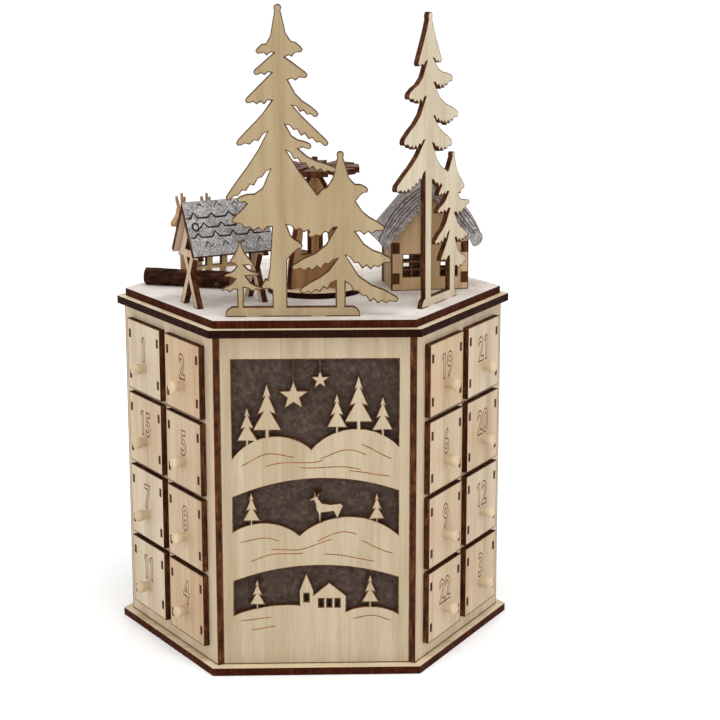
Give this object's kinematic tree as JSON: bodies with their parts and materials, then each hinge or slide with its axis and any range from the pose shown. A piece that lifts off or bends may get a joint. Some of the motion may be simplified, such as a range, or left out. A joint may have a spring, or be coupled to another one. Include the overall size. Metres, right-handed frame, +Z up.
{
  "type": "wooden advent calendar",
  "caption": "Hexagonal birch plywood advent calendar with numbered drawers, fretwork panels and a snowy village scene with fir trees, manger, cottage and turning pyramid on top",
  "frame": {"origin": "centre of the base plate's underside, on the body's hexagon axis", "axes": "+Z up, -Y towards the front fretwork panel, +X to its right"},
  "size_m": [0.21, 0.1877, 0.335],
  "materials": {
    "birch_ply": "bare birch plywood with dark laser-cut edges",
    "drawer_birch": "bare birch plywood with engraved numbers",
    "snow_paint": "thin matt white paint",
    "dark_backing": "matt dark brown-grey",
    "tree_birch": "bare birch plywood with dark laser-cut edges",
    "snowy_roof": "silver-grey glitter paint",
    "bark": "rough dark bark",
    "brown_stain": "shaded brown plywood"
  },
  "bodies": {
    "cabinet": {"drawer_wall_left": "birch_ply", "drawer_wall_right": "birch_ply", "drawer_wall_back": "birch_ply", "fret_panel_front": "birch_ply", "fret_panel_back_right": "birch_ply", "fret_panel_back_left": "birch_ply", "base_plate": "birch_ply", "cornice_plate": "birch_ply", "shelf_1": "birch_ply", "shelf_2": "birch_ply", "shelf_3": "birch_ply", "shelf_4": "birch_ply", "column_dividers": "birch_ply", "manger_trestle_left": "birch_ply", "manger_trestle_right": "birch_ply", "manger_rack": "birch_ply", "stags": "birch_ply", "house_front_wall": "birch_ply", "house_back_wall": "birch_ply", "house_side_walls": "birch_ply", "pyramid_base": "birch_ply", "pyramid_spindle": "birch_ply", "snow_plate": "snow_paint", "panel_backings": "dark_backing", "front_tree_board": "tree_birch", "right_tree_board": "tree_birch", "manger_roof_front": "snowy_roof", "manger_roof_back": "snowy_roof", "house_roof_left": "snowy_roof", "house_roof_right": "snowy_roof", "house_bargeboard": "snowy_roof", "log": "bark", "pyramid_frame_left": "brown_stain", "pyramid_frame_right": "brown_stain"},
    "wheel": {"pyramid_wheel": "birch_ply"},
    "drawer_01": {"drawer_01": "drawer_birch"},
    "drawer_02": {"drawer_02": "drawer_birch"},
    "drawer_03": {"drawer_03": "drawer_birch"},
    "drawer_04": {"drawer_04": "drawer_birch"},
    "drawer_05": {"drawer_05": "drawer_birch"},
    "drawer_06": {"drawer_06": "drawer_birch"},
    "drawer_07": {"drawer_07": "drawer_birch"},
    "drawer_08": {"drawer_08": "drawer_birch"},
    "drawer_09": {"drawer_09": "drawer_birch"},
    "drawer_10": {"drawer_10": "drawer_birch"},
    "drawer_11": {"drawer_11": "drawer_birch"},
    "drawer_12": {"drawer_12": "drawer_birch"},
    "drawer_13": {"drawer_13": "drawer_birch"},
    "drawer_14": {"drawer_14": "drawer_birch"},
    "drawer_15": {"drawer_15": "drawer_birch"},
    "drawer_16": {"drawer_16": "drawer_birch"},
    "drawer_17": {"drawer_17": "drawer_birch"},
    "drawer_18": {"drawer_18": "drawer_birch"},
    "drawer_19": {"drawer_19": "drawer_birch"},
    "drawer_20": {"drawer_20": "drawer_birch"},
    "drawer_21": {"drawer_21": "drawer_birch"},
    "drawer_22": {"drawer_22": "drawer_birch"},
    "drawer_23": {"drawer_23": "drawer_birch"},
    "drawer_24": {"drawer_24": "drawer_birch"}
  },
  "joints": [
    {"name": "drawer_01_slide", "type": "slide", "parent": "cabinet", "child": "drawer_01", "axis": [-0.866, -0.5, 0], "range_m": [0, 0.045]},
    {"name": "drawer_02_slide", "type": "slide", "parent": "cabinet", "child": "drawer_02", "axis": [-0.866, -0.5, 0], "range_m": [0, 0.045]},
    {"name": "drawer_03_slide", "type": "slide", "parent": "cabinet", "child": "drawer_03", "axis": [0.866, -0.5, 0], "range_m": [0, 0.045]},
    {"name": "drawer_04_slide", "type": "slide", "parent": "cabinet", "child": "drawer_04", "axis": [-0.866, -0.5, 0], "range_m": [0, 0.045]},
    {"name": "drawer_05_slide", "type": "slide", "parent": "cabinet", "child": "drawer_05", "axis": [-0.866, -0.5, 0], "range_m": [0, 0.045]},
    {"name": "drawer_06_slide", "type": "slide", "parent": "cabinet", "child": "drawer_06", "axis": [0.866, -0.5, 0], "range_m": [0, 0.045]},
    {"name": "drawer_07_slide", "type": "slide", "parent": "cabinet", "child": "drawer_07", "axis": [-0.866, -0.5, 0], "range_m": [0, 0.045]},
    {"name": "drawer_08_slide", "type": "slide", "parent": "cabinet", "child": "drawer_08", "axis": [-0.866, -0.5, 0], "range_m": [0, 0.045]},
    {"name": "drawer_09_slide", "type": "slide", "parent": "cabinet", "child": "drawer_09", "axis": [0.866, -0.5, 0], "range_m": [0, 0.045]},
    {"name": "drawer_10_slide", "type": "slide", "parent": "cabinet", "child": "drawer_10", "axis": [0, 1, 0], "range_m": [0, 0.045]},
    {"name": "drawer_11_slide", "type": "slide", "parent": "cabinet", "child": "drawer_11", "axis": [-0.866, -0.5, 0], "range_m": [0, 0.045]},
    {"name": "drawer_12_slide", "type": "slide", "parent": "cabinet", "child": "drawer_12", "axis": [0.866, -0.5, 0], "range_m": [0, 0.045]},
    {"name": "drawer_13_slide", "type": "slide", "parent": "cabinet", "child": "drawer_13", "axis": [0, 1, 0], "range_m": [0, 0.045]},
    {"name": "drawer_14_slide", "type": "slide", "parent": "cabinet", "child": "drawer_14", "axis": [0, 1, 0], "range_m": [0, 0.045]},
    {"name": "drawer_15_slide", "type": "slide", "parent": "cabinet", "child": "drawer_15", "axis": [-0.866, -0.5, 0], "range_m": [0, 0.045]},
    {"name": "drawer_16_slide", "type": "slide", "parent": "cabinet", "child": "drawer_16", "axis": [0, 1, 0], "range_m": [0, 0.045]},
    {"name": "drawer_17_slide", "type": "slide", "parent": "cabinet", "child": "drawer_17", "axis": [0, 1, 0], "range_m": [0, 0.045]},
    {"name": "drawer_18_slide", "type": "slide", "parent": "cabinet", "child": "drawer_18", "axis": [0, 1, 0], "range_m": [0, 0.045]},
    {"name": "drawer_19_slide", "type": "slide", "parent": "cabinet", "child": "drawer_19", "axis": [0.866, -0.5, 0], "range_m": [0, 0.045]},
    {"name": "drawer_20_slide", "type": "slide", "parent": "cabinet", "child": "drawer_20", "axis": [0.866, -0.5, 0], "range_m": [0, 0.045]},
    {"name": "drawer_21_slide", "type": "slide", "parent": "cabinet", "child": "drawer_21", "axis": [0.866, -0.5, 0], "range_m": [0, 0.045]},
    {"name": "drawer_22_slide", "type": "slide", "parent": "cabinet", "child": "drawer_22", "axis": [0.866, -0.5, 0], "range_m": [0, 0.045]},
    {"name": "drawer_23_slide", "type": "slide", "parent": "cabinet", "child": "drawer_23", "axis": [0, 1, 0], "range_m": [0, 0.045]},
    {"name": "drawer_24_slide", "type": "slide", "parent": "cabinet", "child": "drawer_24", "axis": [0, 1, 0], "range_m": [0, 0.045]},
    {"name": "wheel_turn", "type": "hinge", "parent": "cabinet", "child": "wheel", "pos_m": [0.001, -0.009, 0.2473], "axis": [0, 0, 1], "continuous": true}
  ]
}
